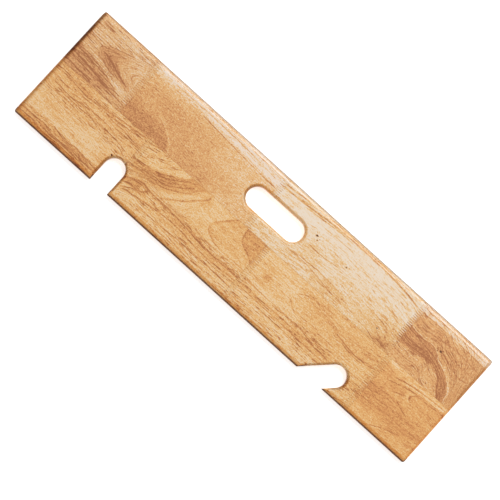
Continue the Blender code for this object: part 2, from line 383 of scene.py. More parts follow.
def figure_lower_1(x, y):
    """Straight grain with a pale middle and a darker band along the -Y edge."""
    rings = y / 3.4 + 0.012 * x + 0.45 * ripple(x, y, 51, 60, 26)
    heart = most(0.60 * smooth(-79, -84, y) * (1 - 0.2 * smooth(-280, -240, x)),
                 0.25 * smooth(-44, -30, y),
                 0.35 * smooth(-262, -236, x) * smooth(-45, -60, y))
    mark = run(x, [(-292, -52), (-275, -64), (-258, -80)])
    pale = 0.55 * smooth(-82, -72, y) * (1 - smooth(-60, -36, y)) + 0.4 * ridge(y + 75, 3)
    pale += 0.8 * ridge(y - mark, 3.5) * smooth(-296, -286, x) * smooth(-255, -262, x)
    veins = gather(x, y, [
        strand([(-310, -10), (-280, -8), (-250, -4), (-215, 0)], 1.7, -300, -208),
        strand([(-310, -14), (-280, -12), (-245, -8), (-208, -3)], 1.3, -285, -208),
        strand([(-380, -8), (-330, -12), (-285, -9)], 1.3, -375, -300),
        strand([(-375, -22), (-345, -20), (-300, -24)], 1.6, -372, -325),
        strand([(-370, -31), (-330, -33), (-260, -29)], 1.2, -365, -285),
        strand([(-350, -15), (-320, -17), (-290, -14)], 1.5, -345, -300),
        strand([(-330, -26), (-310, -25), (-285, -27)], 1.4, -325, -300, 5),
        strand([(-385, -86), (-300, -85), (-238, -88)], 1.3, -400, -240, 12, 0.6),
        strand([(-385, -92), (-300, -90), (-238, -93)], 1.3, -400, -240, 12, 0.6),
        strand([(-385, -81), (-300, -80), (-238, -82)], 1.0, -400, -250, 12, 0.8),
        pin((-235, -52), 2.4, 1.5, 2.2),
    ])
    calm = 0.7 * smooth(-82, -74, y) * smooth(-40, -54, y)
    return Figure(rings, heart, pale, *veins, calm)


def figure_lower_2(x, y):
    """Brown lines that sweep up to the glue line, a long dark vein with an eye, a nested bend."""
    sweep = run(x, [(-207, -31), (-180, -27), (-155, -18), (-135, -8), (-123, 2), (-110, 14)])
    under = run(x, [(-207, -50), (-170, -46), (-135, -36), (-110, -17), (-95, -1), (-85, 10)])
    vein_points = [(-207, -64), (-195, -60), (-187, -56), (-180, -53), (-172, -51.5), (-157, -54),
                   (-125, -55), (-85, -58), (-45, -62), (26, -62)]
    vein_line = run(x, vein_points)
    share = (y - under) / np.maximum(sweep - under, 6)
    above = share * 4.2 + 14
    below = (y - vein_line) / 3.8
    mix = smooth(-4, 22, y - vein_line) * (1 - smooth(-110, -75, x))
    rings = below * (1 - mix) + above * mix + 0.20 * ripple(x, y, 61, 80, 40)
    band = smooth(-2, 2, sweep - y) * smooth(-5, 6, y - under) * (1 - smooth(-100, -84, x))
    bend_points = [(-50, -8), (-48, -30), (-44, -46), (-40, -54), (-34, -59), (-28, -59), (-18, -52),
                   (-5, -40), (3, -33)]
    outer = run(y, bend_points)
    bend = smooth(-1.5, 1.5, x - outer) * smooth(-51, -47, y)
    patch_points = [(-14, 3), (-12, -10), (-7, -18), (3, -24), (13, -28), (20, -33), (26, -38)]
    patch = run(x, patch_points)
    corner = smooth(-1.0, 1.0, x + 14) * smooth(-1.0, 1.0, y - patch)
    under_vein = smooth(-1.5, 1.5, vein_line - y) * smooth(-71, -66, y) * smooth(-153, -162, x)
    eye = hill(x, y, (-168, -58), 3.6, 3.2)
    heart = (1 - eye) * most(band * (0.52 + 0.36 * smooth(-185, -150, x)),
                             0.85 * corner,
                             0.26 * bend + 0.45 * bend * ridge(x - outer - 1, 3),
                             0.50 * bend * ridge(x - outer - 14, 3) * smooth(-40, -28, y),
                             0.85 * under_vein,
                             0.35 * ridge(y - vein_line + 4, 4.5),
                             0.65 * hill(x, y, (-86, -7), 9, 8))
    over_sweep = smooth(0, 3, y - sweep) * smooth(15, 5, y - sweep) * smooth(-200, -170, x)
    pale = most(0.7 * over_sweep * (1 - smooth(-130, -118, x)),
                0.32 * hill(x, y, (-70, -30), 24, 22) * (1 - bend),
                0.35 * ridge(y - vein_line - 6, 5) * smooth(-100, -60, x),
                eye,
                0.85 * smooth(-74, -80, y) * smooth(-96, -90, y))
    veins = gather(x, y, [
        strand(vein_points, 2.3, -205, 30, 4),
        strand([(-200, -72), (-192, -67), (-180, -65.5), (-172, -65), (-165, -62), (-160, -57),
                      (-155, -54)], 2.0, -198, -157, 4),
        strand([(-200, -79), (-155, -72), (-125, -68), (-85, -67), (-62, -70), (26, -68)],
               1.6, -198, 30),
        strand([(-205, -34), (-175, -31), (-145, -20), (-123, -4), (-116, 3)],
               1.3, -205, -118, 6, 0.8),
        strand([(-205, -38), (-172, -35), (-142, -24), (-120, -8), (-108, 3)],
               1.2, -200, -114, 6, 0.7),
        strand([(-205, -43), (-170, -38), (-138, -27), (-115, -10), (-102, 3)],
               1.5, -208, -108, 6, 0.8),
        strand([(-205, -48), (-168, -43), (-134, -31), (-110, -14), (-97, 3)],
               1.2, -190, -104, 6, 0.7),
        strand([(-148, -54), (-138, -50), (-123, -40), (-107, -28), (-95, -15), (-85, -5), (-80, 3)],
               2.2, -142, -80, 5),
        steep(bend_points, 1.5, -50, 3, 3, 0.7),
        steep([(-20, -6), (-12, -11), (3, -13.5)], 1.6, -17, 4, 3),
        strand([(-190, -86), (-120, -82), (-40, -79), (26, -80)], 1.2, -180, 30),
        strand([(-150, -91), (-100, -90), (26, -88)], 1.0, -150, 10),
        strand(patch_points, 1.5, -13.5, 30, 1.5),
    ])
    calm = 0.9 * smooth(-160, -130, x) * smooth(-52, -44, y)
    return Figure(rings, heart, pale, *veins, calm)


def figure_lower_3(x, y):
    """Quiet block with an arrowhead, a reddish streak and straight lines near the -Y edge."""
    base = run(x, [(26, -60), (110, -58), (200, -60), (266, -56)])
    head = arrow(x, y, (97, -27), 0.30, 1.5)
    inside = smooth(-1, 1.5, head) * (1 - smooth(20, 60, head))
    rings = (y - base) / 4.4 + 0.30 * ripple(x, y, 71, 110, 60)
    front = run(y, [(-40, 118), (-28, 122), (-12, 136), (3, 156)])
    heart = 0.85 * hill(x, y, (55, -33), 8, 6) + 0.15 * smooth(150, 240, x)
    heart += 0.25 * smooth(-2, 4, x - front) * smooth(-44, -26, y)
    heart += 0.16 * inside + 0.5 * hill(x, y, (134, -12), 17, 9) + 0.40 * ridge(y + 66, 5.5)
    streak = run(x, [(150, -17), (175, -22), (205, -29), (225, -31), (255, -28), (266, -26)])
    heart += 0.6 * ridge(y - streak, 2.4) * smooth(150, 190, x)
    second = run(x, [(130, -39), (175, -45), (200, -51)])
    heart += 0.35 * ridge(y - second, 2.0) * smooth(130, 150, x) * smooth(205, 185, x)
    pale = 0.40 * (1 - smooth(60, 150, x)) + 0.15 - heart + 0.95 * smooth(-75, -81, y)
    veins = gather(x, y, [
        strand([(26, -64), (110, -63), (205, -62)], 1.4, 20, 205, 12, 0.8),
        strand([(26, -56), (110, -55), (205, -57)], 1.1, 20, 195, 12, 0.7),
        strand([(26, -69), (110, -69), (205, -70)], 1.2, 20, 205, 12, 0.8),
        strand([(26, -75), (110, -75), (195, -76)], 1.2, 20, 200, 12, 0.8),
        strand([(26, -84), (70, -83), (130, -86)], 1.0, 20, 110),
        strand([(165, -20), (205, -28.5), (225, -31), (262, -27)], 1.2, 176, 250),
        strand([(185, -26), (215, -33), (240, -34), (262, -31)], 1.0, 195, 245),
        strand([(97, -27), (104, -20), (118, -12), (135, -4), (150, 2)], 1.0, 99, 132, 4),
        strand([(97, -27), (103, -34), (115, -42), (130, -49)], 1.0, 99, 122, 4),
        pin((181, -88), 3.0, 2.4, 1.5),
    ])
    return Figure(rings, heart, pale, *veins, 0.6 * smooth(-54, -46, y))


def figure_lower_4(x, y):
    """Orange mottled block with a bend that opens to the +X end and pale pink streaks."""
    bend = arrow(x, y, (327, -21.5), 0.12, 2.2)
    inside = smooth(-1.2, 1.2, bend)
    flat = y / 4.8 - 0.012 * x + 0.35 * ripple(x, y, 81, 60, 40)
    rings = flat + 0.03 * bend * inside
    first = run(x, [(275, -16), (315, -6), (355, -2), (385, 0)])
    second = run(x, [(285, -24), (305, -15), (327, -9), (355, -6), (385, -5)])
    heart = most(0.55 * smooth(-34, -48, y) * smooth(-84, -72, y) + 0.25 * inside * smooth(-34, -28, y),
                 0.6 * hill(x, y, (300, -26), 10, 6))
    pale = 0.95 * hill(x, y, (288, -1), 22, 4.5) + 0.25 * smooth(-16, -2, y)
    pale += 0.55 * ridge(y - first, 1.4) * smooth(285, 300, x)
    pale += 0.55 * ridge(y - second, 1.6) * smooth(295, 312, x)
    pale += 0.35 * ridge(bend + 4, 2.5) * smooth(-36, -28, y)
    arc_points = [(300, -97), (315, -89), (330, -82), (345, -78)]
    pale += 0.2 * ridge(y - run(x, arc_points) + 3, 3) * smooth(295, 310, x)
    veins = gather(x, y, [
        strand([(327, -21.5), (331, -16.5), (345, -13.5), (365, -11.5), (385, -10)], 1.4, 328, 400, 3),
        strand([(327, -21.5), (331, -26.5), (340, -31), (350, -33)], 1.4, 329, 344, 3),
        steep([(-29, 334), (-26, 329.5), (-22, 327.5), (-18, 330), (-15, 336)], 1.4, -28, -16, 2),
        strand([(275, -20), (310, -10), (345, -5), (385, -3)], 1.2, 285, 385),
        strand([(270, -30), (300, -20), (335, -12), (385, -8)], 1.1, 280, 385),
        strand([(300, -33), (320, -26), (326, -23)], 1.0, 300, 326, 8),
        strand(arc_points, 1.2, 303, 345, 6),
        strand([(310, -36), (330, -44), (350, -49)], 1.1, 312, 345, 6),
    ])
    return Figure(rings, heart, pale, *veins, 0.5 + 0 * x)


FIGURES = {
    UPPER[0]: figure_upper_1,
    UPPER[1]: figure_upper_2,
    UPPER[2]: figure_upper_3,
    UPPER[3]: figure_upper_4,
    LOWER[0]: figure_lower_1,
    LOWER[1]: figure_lower_2,
    LOWER[2]: figure_lower_3,
    LOWER[3]: figure_lower_4,
}
VEIN_DEPTH = 0.25     # how much a vein takes off the wood's tone
RING_DIP = 0.7        # how far a growth ring moves across the board for each step down into it


# ---------------------------------------------------------------------------------------------
# Shape of the blocks.

Stave = namedtuple("Stave", "side seam_y outer_y wave_low pitch count")


def stave_of(name, sizes):
    """Measures of the stave that a block belongs to; side is +1 for the upper stave."""
    side = 1 if name in UPPER else -1
    outer_y = HIGH_CORNER.y if side > 0 else LOW_CORNER.y
    low_y, high_y = sorted((SEAM_Y, outer_y))
    span = high_y - low_y - sizes.finger_tip
    count = round(span / sizes.finger_pitch)
    return Stave(side, SEAM_Y, outer_y, low_y + sizes.finger_tip / 2, span / count, count)


def finger_wave(y, stave, sizes, floor_y):
    """Offset along X of a finger joint's line at height y.

    It is minus half the finger's length over each root flat, plus half of it over each tip flat
    and straight in between.  Below floor_y there are no fingers.
    """
    turns = (y - stave.wave_low) / stave.pitch
    away = np.abs(turns - np.round(turns)) * stave.pitch
    rise = (away - sizes.finger_tip / 2) / (stave.pitch / 2 - sizes.finger_tip)
    wave = sizes.finger_length * (np.clip(rise, 0, 1) - 0.5)
    return np.where(y < floor_y, -sizes.finger_length / 2, wave)


def finger_floor(joint_x, stave, sizes):
    """Y below which a joint has no fingers, because the square notch is there."""
    notch_x = opening_centre("square_notch")[0]
    reach = (sizes.notch_width + sizes.finger_length) / 2
    if stave.side > 0 or abs(joint_x - notch_x) > reach:
        return -1.0
    top = LOW_CORNER.y + sizes.square_notch_length + sizes.finger_to_notch
    return stave.wave_low + math.ceil((top - stave.wave_low) / stave.pitch) * stave.pitch


def section_rows(stave, sizes):
    """Rows of a block's section from the glue line to the outer edge: y, height, and normal.

    The height is measured from the board's middle plane.  It is half the thickness up to the
    roundover and follows a quarter circle down to the flat of the edge.
    """
    radius = (THICKNESS - sizes.edge_flat) / 2
    half = np.arange(2 * stave.count + 1) * stave.pitch / 2 + stave.wave_low
    flank = half + stave.pitch / 4
    fingers = np.concatenate((half - sizes.finger_tip / 2, half + sizes.finger_tip / 2, flank))
    arc = np.linspace(0, math.pi / 2, sizes.arc_steps + 1)
    bend = stave.outer_y - stave.side * radius * (1 - np.sin(arc))
    low_y, high_y = sorted((stave.seam_y, stave.outer_y))
    rows = np.unique(np.clip(np.concatenate((fingers, bend)), low_y, high_y))
    closest = 0.08 * MM
    keep = np.concatenate(([True], np.diff(rows) > closest))
    keep[-1] = True
    rows = rows[keep]
    if stave.side < 0:
        rows = rows[::-1]
    rows[0] = stave.seam_y
    rows[-1] = stave.outer_y
    into = np.clip(radius - np.abs(stave.outer_y - rows), 0, radius)
    normal_y = stave.side * into / radius
    normal_z = np.sqrt(1 - normal_y**2)
    height = THICKNESS / 2 - radius + radius * normal_z
    return rows, height, normal_y, normal_z


def end_columns(end_x, side, sizes):
    """Columns of a rounded end, from the end inward: x, inset in height and inset in plan.

    Both insets follow a quarter circle: in height with the end roundover's radius, in plan with the
    corner's.
    """
    turn = np.linspace(math.pi / 2, 0, sizes.arc_steps + 1)
    away = sizes.end_round * (1 - np.sin(turn))
    left = np.clip(sizes.corner_round - away, 0, None)
    plan = sizes.corner_round - np.sqrt(sizes.corner_round**2 - left**2)
    return end_x - side * away, sizes.end_round * (1 - np.cos(turn)), plan


def wall_quads(layers, around):
    """Quads between closed loops of points, as numbers of points."""
    here = np.arange(around)
    there = (here + 1) % around
    base = (np.arange(layers - 1) * around)[:, None]
    walls = np.stack((base + here, base + there, base + around + there, base + around + here), axis=-1)
    return walls.reshape(-1, 4)


def block_surface(name, sizes):
    """Points and faces of one block before the slot and the notches are cut.

    A closed section, top rows then bottom rows, is carried along X.  At a joint the columns are
    pushed by the finger wave, less and less over the finger zone.  At an end of the board the
    section shrinks inward along its normals round a quarter circle.
    """
    stave = stave_of(name, sizes)
    order = UPPER if stave.side > 0 else LOWER
    place = order.index(name)
    joints = JOINTS_X["upper" if stave.side > 0 else "lower"]
    y, height, normal_y, normal_z = section_rows(stave, sizes)

    left_x = joints[place - 1] if place > 0 else LOW_CORNER.x
    right_x = joints[place] if place < len(joints) else HIGH_CORNER.x
    pieces = []
    start, stop = left_x, right_x
    if place == 0:
        pieces.append(np.stack(end_columns(left_x, -1, sizes)))
        start = left_x + sizes.end_round
    if place == len(joints):
        stop = right_x - sizes.end_round
    steps = max(2, round((stop - start) / sizes.mesh_step))
    inner = np.linspace(start, stop, steps + 1)
    inner = inner[1:] if place == 0 else inner
    inner = inner[:-1] if place == len(joints) else inner
    pieces.append(np.stack((inner, 0 * inner, 0 * inner)))
    if place == len(joints):
        pieces.append(np.stack(end_columns(right_x, 1, sizes))[:, ::-1])
    x, inset, plan_inset = np.concatenate(pieces, axis=1)

    push = np.zeros((len(x), len(y)))
    half_gap = sizes.glue_film / 2
    zone = sizes.finger_zone
    if place > 0:
        wave = finger_wave(y, stave, sizes, finger_floor(left_x, stave, sizes)) + half_gap
        push += np.clip(1 - (x - left_x) / zone, 0, 1)[:, None] * wave[None, :]
    if place < len(joints):
        wave = finger_wave(y, stave, sizes, finger_floor(right_x, stave, sizes)) - half_gap
        push += np.clip(1 - (right_x - x) / zone, 0, 1)[:, None] * wave[None, :]

    seam_shift = np.zeros(len(y))
    seam_shift[0] = stave.side * half_gap
    grid_x = x[:, None] + push
    grid_y = (y + seam_shift)[None, :] - plan_inset[:, None] * normal_y[None, :]
    rise = height[None, :] - inset[:, None] * normal_z[None, :]
    middle = LOW_CORNER.z + THICKNESS / 2
    top = np.stack((grid_x, grid_y, middle + rise), axis=-1)
    bottom = np.stack((grid_x, grid_y, middle - rise), axis=-1)[:, ::-1]
    loops = np.concatenate((top, bottom), axis=1)
    columns, around = loops.shape[:2]

    rows = np.arange(len(y) - 1)
    cap = np.stack((rows, rows + 1, around - 2 - rows, around - 1 - rows), axis=-1)
    faces = np.concatenate((wall_quads(columns, around), cap[:, ::-1], cap + (columns - 1) * around))
    return loops.reshape(-1, 3), faces


def mesh_from(name, points, faces):
    """Mesh of quads from arrays of points and of point numbers."""
    mesh = bpy.data.meshes.new(name)
    mesh.vertices.add(len(points))
    mesh.vertices.foreach_set("co", points.astype(np.float32).ravel())
    mesh.loops.add(faces.size)
    mesh.loops.foreach_set("vertex_index", faces.astype(np.int32).ravel())
    mesh.polygons.add(len(faces))
    mesh.polygons.foreach_set("loop_start", (np.arange(len(faces)) * 4).astype(np.int32))
    mesh.update(calc_edges=True)
    mesh.validate()
    return mesh


def turned_out(points, faces):
    """The faces, turned over if the shape they close would be inside out."""
    first, second, third, fourth = (points[faces[:, corner]] for corner in range(4))
    volume = (first * (np.cross(second, third) + np.cross(third, fourth))).sum()
    return faces if volume > 0 else faces[:, ::-1]


def add_object(name, mesh):
    """Link a new object that carries the mesh."""
    item = bpy.data.objects.new(name, mesh)
    bpy.context.scene.collection.objects.link(item)
    return item


def straight(start, end, step):
    """Points from start up to, and not at, end."""
    start, end = np.array(start), np.array(end)
    count = max(1, round(float(np.hypot(*(end - start))) / step))
    share = np.arange(count)[:, None] / count
    return start + (end - start) * share


def bow(centre, radius, start, end, step):
    """Points on an arc from one angle up to, and not at, the other."""
    count = max(8, round(radius * abs(end - start) / step))
    angle = start + (end - start) * np.arange(count) / count
    return np.stack((centre[0] + radius * np.cos(angle), centre[1] + radius * np.sin(angle)), axis=-1)


def slot_outline(sizes):
    """Long hole with round ends, as centre-line frame points and outward directions."""
    centre_x, centre_y = opening_centre("hand_slot")
    radius = sizes.slot_width / 2
    half = sizes.slot_length / 2 - radius
    step = sizes.mesh_step
    right, left = (centre_x + half, centre_y), (centre_x - half, centre_y)
    points = np.concatenate((
        bow(right, radius, -math.pi / 2, math.pi / 2, step),
        straight((right[0], centre_y + radius), (left[0], centre_y + radius), step),
        bow(left, radius, math.pi / 2, 3 * math.pi / 2, step),
        straight((left[0], centre_y - radius), (right[0], centre_y - radius), step),
    ))
    hub = np.stack((np.clip(points[:, 0], left[0], right[0]), np.full(len(points), centre_y)), axis=-1)
    return points, (points - hub) / radius


def notch_outline(centre, radius, lean, run_out, step):
    """Round end and two straight sides that run out of the board, with outward directions."""
    inward = np.array((math.sin(lean), math.cos(lean)))
    side = np.array((math.cos(lean), -math.sin(lean)))
    middle = np.array(centre)
    first, last = middle + side * radius, middle - side * radius
    out = -inward * run_out
    points = np.concatenate((
        bow(centre, radius, -lean, math.pi - lean, step),
        straight(last, last + out, step),
        (last + out)[None],
        straight(first + out, first, step),
    ))
    along = np.clip((points - middle) @ inward, -run_out, 0)
    hub = middle + along[:, None] * inward
    return points, (points - hub) / radius


def cutter(name, outline, sizes):
    """Cutter that is as wide as the opening at mid-thickness and flares out round both faces.

    The wall grows outward by r * (1 - cos a) while it climbs by r * sin a, and the last chord is
    carried on past the board's face so that it crosses the face cleanly.
    """
    points, outward = outline
    radius = sizes.opening_round
    turn = np.linspace(0, math.pi / 2, sizes.arc_steps + 1)
    climb = THICKNESS / 2 - radius + radius * np.sin(turn)
    growth = radius * (1 - np.cos(turn))
    climb = np.append(climb, 2 * climb[-1] - climb[-2])
    growth = np.append(growth, 2 * growth[-1] - growth[-2])
    height = np.concatenate((-climb[::-1], climb)) + LOW_CORNER.z + THICKNESS / 2
    growth = np.concatenate((growth[::-1], growth))
    layers, around = len(height), len(points)
    plan = points[None] + outward[None] * growth[:, None, None]
    rings = np.concatenate((plan, np.broadcast_to(height[:, None, None], (layers, around, 1))), axis=-1)

    mesh = bpy.data.meshes.new(name)
    bottom = np.arange(around)
    faces = wall_quads(layers, around).tolist()
    faces.append(bottom[::-1].tolist())
    faces.append((bottom + (layers - 1) * around).tolist())
    mesh.from_pydata(rings.reshape(-1, 3).tolist(), [], faces)
    item = add_object(name, mesh)
    item.hide_render = True
    item.display_type = 'WIRE'
    return item


def opening_cutter(opening, sizes):
    """Cutter for the hand slot or one of the notches."""
    if opening == "hand_slot":
        return cutter("hand_slot_cutter", slot_outline(sizes), sizes)
    radius = sizes.notch_width / 2
    run_out = 3 * sizes.notch_width
    if opening == "square_notch":
        centre_x = opening_centre("square_notch")[0]
        centre = (centre_x, LOW_CORNER.y + sizes.square_notch_length - radius)
        lean = 0.0
    else:
        centre = opening_centre("slanted_notch_end")
        lean = sizes.slanted_notch_lean
    return cutter(f"{opening}_cutter", notch_outline(centre, radius, lean, run_out, sizes.mesh_step), sizes)


def applied(item):
    """Mesh of an object with its modifiers applied."""
    graph = bpy.context.evaluated_depsgraph_get()
    return bpy.data.meshes.new_from_object(item.evaluated_get(graph))


def seam_distance(points, name, sizes):
    """Distance in millimetres from each point to the nearest glue line of its block.

    Along a finger's flank it is the distance along X times the sine of the flank's angle, which is
    doubled so that the line stays thin at the fingers' tips.
    """
    stave = stave_of(name, sizes)
    nearest = np.abs(points[:, 1] - stave.seam_y)
    run_in = stave.pitch / 2 - sizes.finger_tip
    flank = 2 * run_in / math.hypot(run_in, sizes.finger_length)
    for joint_x in JOINTS_X["upper" if stave.side > 0 else "lower"]:
        wave = finger_wave(points[:, 1], stave, sizes, finger_floor(joint_x, stave, sizes))
        nearest = np.minimum(nearest, np.abs(points[:, 0] - joint_x - wave) * flank)
    return nearest / MM


END_DARK_REACH = 9                  # how far from an end its darkening starts, in millimetres: darker end grain and painted shade
END_DARK_FROM = 7.5           # how far from an end it starts to darken
END_DARK_FULL = 3.0           # and where it is darkest
LONG_EDGE_SHADE_REACH = 8.5          # how far from a long edge its painted shade starts
BACK_LINE_SHADE = 0.60              # darkness of the painted shade on the outermost line of the edge that faces +Y
CUT_SIDE_SHADE = 0.52               # darkness of the painted shade on the sides of the slot and the notches
FRONT_EDGE_SHADE = (1.0, 0.86)      # darkness of the painted shade on the edge that faces -Y, away from the key light: on its round and on its flat

# At the -X end and then at the +X end: weight everywhere, and what the upper stave adds to it.
# Darker end grain, with painted shade that makes the -X end, away from the light, darker than the +X end.
END_BROWN_GRAIN_AND_SHADE = ((0.5, 0.5), (0.1, 0.0))
END_DARK_GRAIN_AND_SHADE = ((0.42, 0.55), (0.04, 0.24))


def end_grain_and_painted_shade(place, normal):
    """Where roundovers turn brown and where end grain and edges turn darker still: darker cut and end
    grain, with painted shade on the sides that turn away from the key light.

    Both rise with the sine of the surface's tilt.  Edges that face +Y, towards the light, stay pale but for
    the board's outermost line, which gets a painted shade, and the round ends of the notches stay pale too.
    At the board's ends both follow the distance from the end instead, and are strongest on the upper
    stave's -X end.
    """
    tilt = np.sqrt(np.clip(1 - normal[:, 2] ** 2, 0, 1))
    facing_x = normal[:, 0] / np.maximum(tilt, 0.02)
    facing_y = normal[:, 1] / np.maximum(tilt, 0.02)
    x, y = place[:, 0], place[:, 1]
    from_end = np.minimum(x - LOW_CORNER.x, HIGH_CORNER.x - x) / MM
    on_end = from_end < END_DARK_REACH
    on_front = y < LOW_CORNER.y + LONG_EDGE_SHADE_REACH * MM
    on_back = y > HIGH_CORNER.y - LONG_EDGE_SHADE_REACH * MM
    in_cut = ~(on_end | on_front | on_back)
    back_facing = smooth(0.1, 0.7, facing_y)
    notch_end = (in_cut & (y < SEAM_Y)) * smooth(0.3, 0.9, -facing_y)
    middle = (SEAM_Y + HIGH_CORNER.y) / 2
    upper = smooth(0, 12, (y - SEAM_Y) / MM) * (1 - 0.4 * smooth(15, 40, np.abs(y - middle) / MM))

    # Brown roundovers: painted shade where a roundover turns away from the light, with some darker cut
    # grain; the +X end, which the light reaches more, gets less of it.
    edge = most(smooth(0.02, 0.30, tilt) * (1 - back_facing) * (1 - 0.9 * notch_end),
                0.15 * smooth(0.4, 0.9, tilt))
    edge *= np.where(on_end & (x > 0), 0.7, 1.0)
    low_end, high_end = (everywhere + more * upper for everywhere, more in END_BROWN_GRAIN_AND_SHADE)
    end_grain_and_shade_brown = smooth(END_DARK_REACH, 4, from_end) * np.where(x < 0, low_end, high_end)
    edge = np.where(on_end, np.maximum(edge, end_grain_and_shade_brown), edge)

    on_round, on_flat = FRONT_EDGE_SHADE
    side_wall = on_flat + (on_round - on_flat) * smooth(1.0, 0.9, tilt)
    low_end, high_end = (everywhere + more * upper for everywhere, more in END_DARK_GRAIN_AND_SHADE)
    end_grain_and_shade_dark = smooth(END_DARK_FROM, END_DARK_FULL, from_end) * np.where(x < 0, low_end, high_end)
    cut_side = np.where(y < SEAM_Y, np.abs(facing_x), np.clip(facing_x, 0, 1))
    # Darker still: painted shade on the -Y edge, on the +Y edge's outermost line and on the sides of the
    # cuts, and darker end grain with painted shade at the ends.
    dark_shade_and_end_grain = most(smooth(0.58, 0.84, tilt) * np.where(on_front, side_wall, 0) * (1 - back_facing),
                BACK_LINE_SHADE * on_back * smooth(0.50, 0.85, tilt),
                CUT_SIDE_SHADE * in_cut * cut_side * smooth(0.10, 0.5, tilt))
    dark_shade_and_end_grain = np.where(on_end, np.maximum(dark_shade_and_end_grain, end_grain_and_shade_dark), dark_shade_and_end_grain)
    return edge, dark_shade_and_end_grain


def point_vectors(mesh, key):
    """One vector for each point of the mesh, such as its place or its normal."""
    values = np.empty(len(mesh.vertices) * 3, np.float32)
    mesh.vertices.foreach_get(key, values)
    return values.reshape(-1, 3)


def cut_block(name, sizes):
    """Build one block and cut its share of the openings out of it."""
    points, faces = block_surface(name, sizes)
    item = add_object(f"{name}_wood", mesh_from(name, points, turned_out(points, faces)))
    cutters = [opening_cutter(opening, sizes) for opening, blocks in CUT_NAMES.items() if name in blocks]
    for tool in cutters:
        modifier = item.modifiers.new(tool.name, 'BOOLEAN')
        modifier.operation = 'DIFFERENCE'
        modifier.solver = 'EXACT'
        modifier.object = tool
    if cutters:
        mesh = applied(item)
        item.modifiers.clear()
        item.data = mesh
        for tool in cutters:
            bpy.data.objects.remove(tool)
    item.data.shade_smooth()
    item.data.set_sharp_from_angle(angle=sizes.smooth_angle)
    return item


def store_figure(mesh, name, sizes):
    """Work out the wood's figure and its darkened edges, end grain with painted shade, and keep them on the
    block's points.

    On the way down through the board the figure moves across it, as growth rings do.
    """
    place = point_vectors(mesh, "co").astype(float)
    x = place[:, 0] / MM
    depth = (HIGH_CORNER.z - place[:, 2]) / MM
    y = place[:, 1] / MM + RING_DIP * depth
    figure = FIGURES[name](x, y)
    wood = WOODS[name]
    pale = np.clip(figure.pale, 0, 1)
    tone = wood.base + pale * (wood.sapwood - wood.base) - np.clip(figure.heart, 0, 1) * wood.heartwood
    edge, dark_shade_and_end_grain = end_grain_and_painted_shade(place, point_vectors(mesh, "normal"))
    # The edge fields hold darker end grain and painted shade on edges that turn from the light.
    fields = {
        "tone": tone, "rings": figure.rings, "calm": figure.calm, "vein": figure.vein,
        "vein_depth": figure.vein_depth, "seam": seam_distance(place, name, sizes),
        "edge": edge, "dark_shade_and_end_grain": dark_shade_and_end_grain,
    }
    for key, values in fields.items():
        attribute = mesh.attributes.new(key, 'FLOAT', 'POINT')
        attribute.data.foreach_set("value", np.asarray(values, np.float32))


def add_block(name, sizes, colours):
    """Build one block with its figure and its wood, hang it under the root body and hide its CAD node."""
    item = cut_block(name, sizes)
    store_figure(item.data, name, sizes)
    item.data.materials.clear()
    item.data.materials.append(block_material(name, colours))
    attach(item, "root")
    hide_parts(name)
    return item


# ---------------------------------------------------------------------------------------------
# Shader tools.

def feed(tree, item, inputs):
    """Set a node's inputs; each named or numbered socket gets a value or a link to a socket."""
    for key, value in inputs.items():
        if isinstance(value, bpy.types.NodeSocket):
            tree.links.new(value, item.inputs[key])
        else:
            item.inputs[key].default_value = value


def node(tree, kind, inputs=None, **settings):
    """Add a node with its settings and its inputs."""
    item = tree.nodes.new(kind)
    for key, value in settings.items():
        setattr(item, key, value)
    feed(tree, item, inputs or {})
    return item


def maths(tree, operation, first, second=0.0, third=0.0):
    """Result of a Math node."""
    return node(tree, "ShaderNodeMath", {0: first, 1: second, 2: third}, operation=operation).outputs[0]


def ramp(tree, value, low, high, bottom=0.0, top=1.0):
    """Smooth step of a value from bottom at low to top at high."""
    inputs = {"Value": value, "From Min": low, "From Max": high, "To Min": bottom, "To Max": top}
    return node(tree, "ShaderNodeMapRange", inputs, interpolation_type='SMOOTHSTEP').outputs["Result"]


def blend(tree, factor, first, second, mode='MIX'):
    """Colour mix of two colours."""
    inputs = {0: factor, 6: first, 7: second}
    item = node(tree, "ShaderNodeMix", inputs, data_type='RGBA', blend_type=mode, clamp_factor=True)
    return item.outputs[2]


def noise(tree, vector, per_metre, detail=3.0, roughness=0.55):
    """Noise around 0.5 with its own frequency along X, Y and Z, in cycles per metre."""
    scaled = node(tree, "ShaderNodeVectorMath", {0: vector, 1: per_metre}, operation='MULTIPLY').outputs[0]
    inputs = {"Vector": scaled, "Scale": 1.0, "Detail": detail, "Roughness": roughness}
    return node(tree, "ShaderNodeTexNoise", inputs).outputs["Fac"]


def group(name, inputs, outputs):
    """Start a shader node group; returns its tree, its input sockets and a function that ends it."""
    tree = bpy.data.node_groups.new(name, "ShaderNodeTree")
    kinds = {"value": 'NodeSocketFloat', "colour": 'NodeSocketColor', "vector": 'NodeSocketVector'}
    for label, kind in inputs:
        tree.interface.new_socket(label, in_out='INPUT', socket_type=kinds[kind])
    for label, kind in outputs:
        tree.interface.new_socket(label, in_out='OUTPUT', socket_type=kinds[kind])
    source = tree.nodes.new("NodeGroupInput")
    sink = tree.nodes.new("NodeGroupOutput")

    def finish(results):
        """Join the named results to the group's outputs and hand back its tree."""
        feed(tree, sink, results)
        return tree

    return tree, source.outputs, finish


def centred(tree, value):
    """A noise around 0.5 spread to run from -1 to 1."""
    return maths(tree, 'MULTIPLY_ADD', value, 2.0, -1.0)


def weighted(tree, start, terms):
    """The start value plus each term times its weight."""
    total = start
    for value, weight in terms:
        total = maths(tree, 'MULTIPLY_ADD', value, weight, total)
    return total


